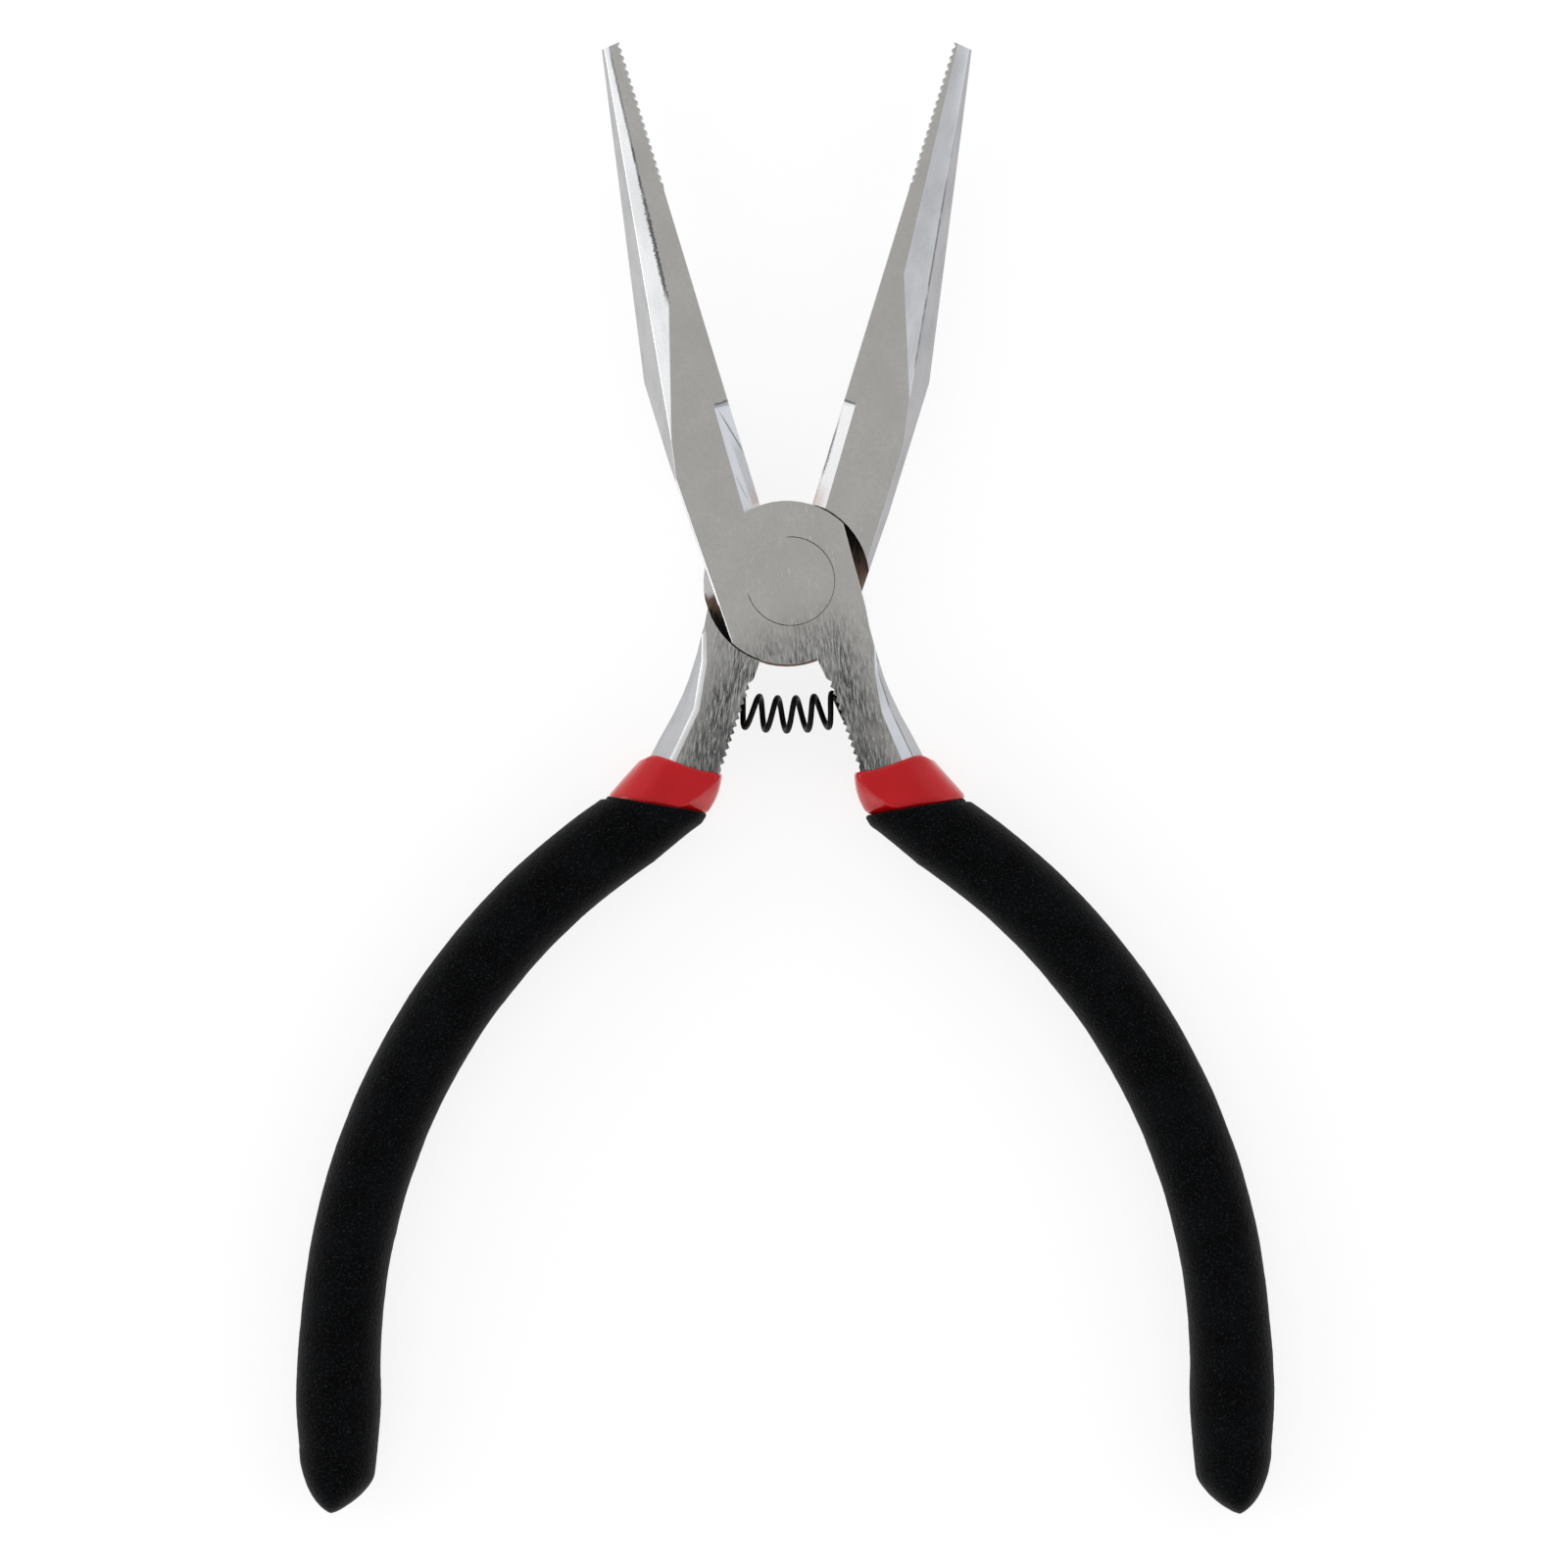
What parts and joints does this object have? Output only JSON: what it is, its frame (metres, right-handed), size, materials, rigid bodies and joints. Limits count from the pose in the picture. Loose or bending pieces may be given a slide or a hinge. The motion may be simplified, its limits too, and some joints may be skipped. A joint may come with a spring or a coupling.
{
  "type": "fishing pliers",
  "caption": "Long-nose fishing pliers with a riveted lap joint, side cutter, return spring between the tangs, red vinyl sleeves and curved black foam grips.",
  "frame": {"origin": "on the axis of the pivot rivet, at the flat back face of the joint", "axes": "+Y from the pivot towards the tips of the jaws, +Z along the rivet towards the front lap, +X towards the right handle"},
  "size_m": [0.0994, 0.1502, 0.0108],
  "materials": {
    "steel": "flat faces belt-ground lengthways, bevels polished",
    "rivet_steel": "ground flush with the laps",
    "spring_wire": "black oxide, semi-gloss",
    "red_vinyl": "glossy dipped vinyl",
    "black_foam": "fine-celled foam with a soft sheen"
  },
  "bodies": {
    "front": {"front_half": "steel", "pivot_rivet": "rivet_steel", "return_spring": "spring_wire", "right_sleeve": "red_vinyl", "right_grip": "black_foam"},
    "back": {"back_half": "steel", "left_sleeve": "red_vinyl", "left_grip": "black_foam"}
  },
  "joints": [
    {"name": "jaw_hinge", "type": "hinge", "parent": "front", "child": "back", "pos_m": [0, 0, 0], "axis": [0, 0, 1], "range_deg": [-10, 34.2], "stiffness_Nm_per_rad": 0.37, "deforming": ["return_spring"]}
  ]
}
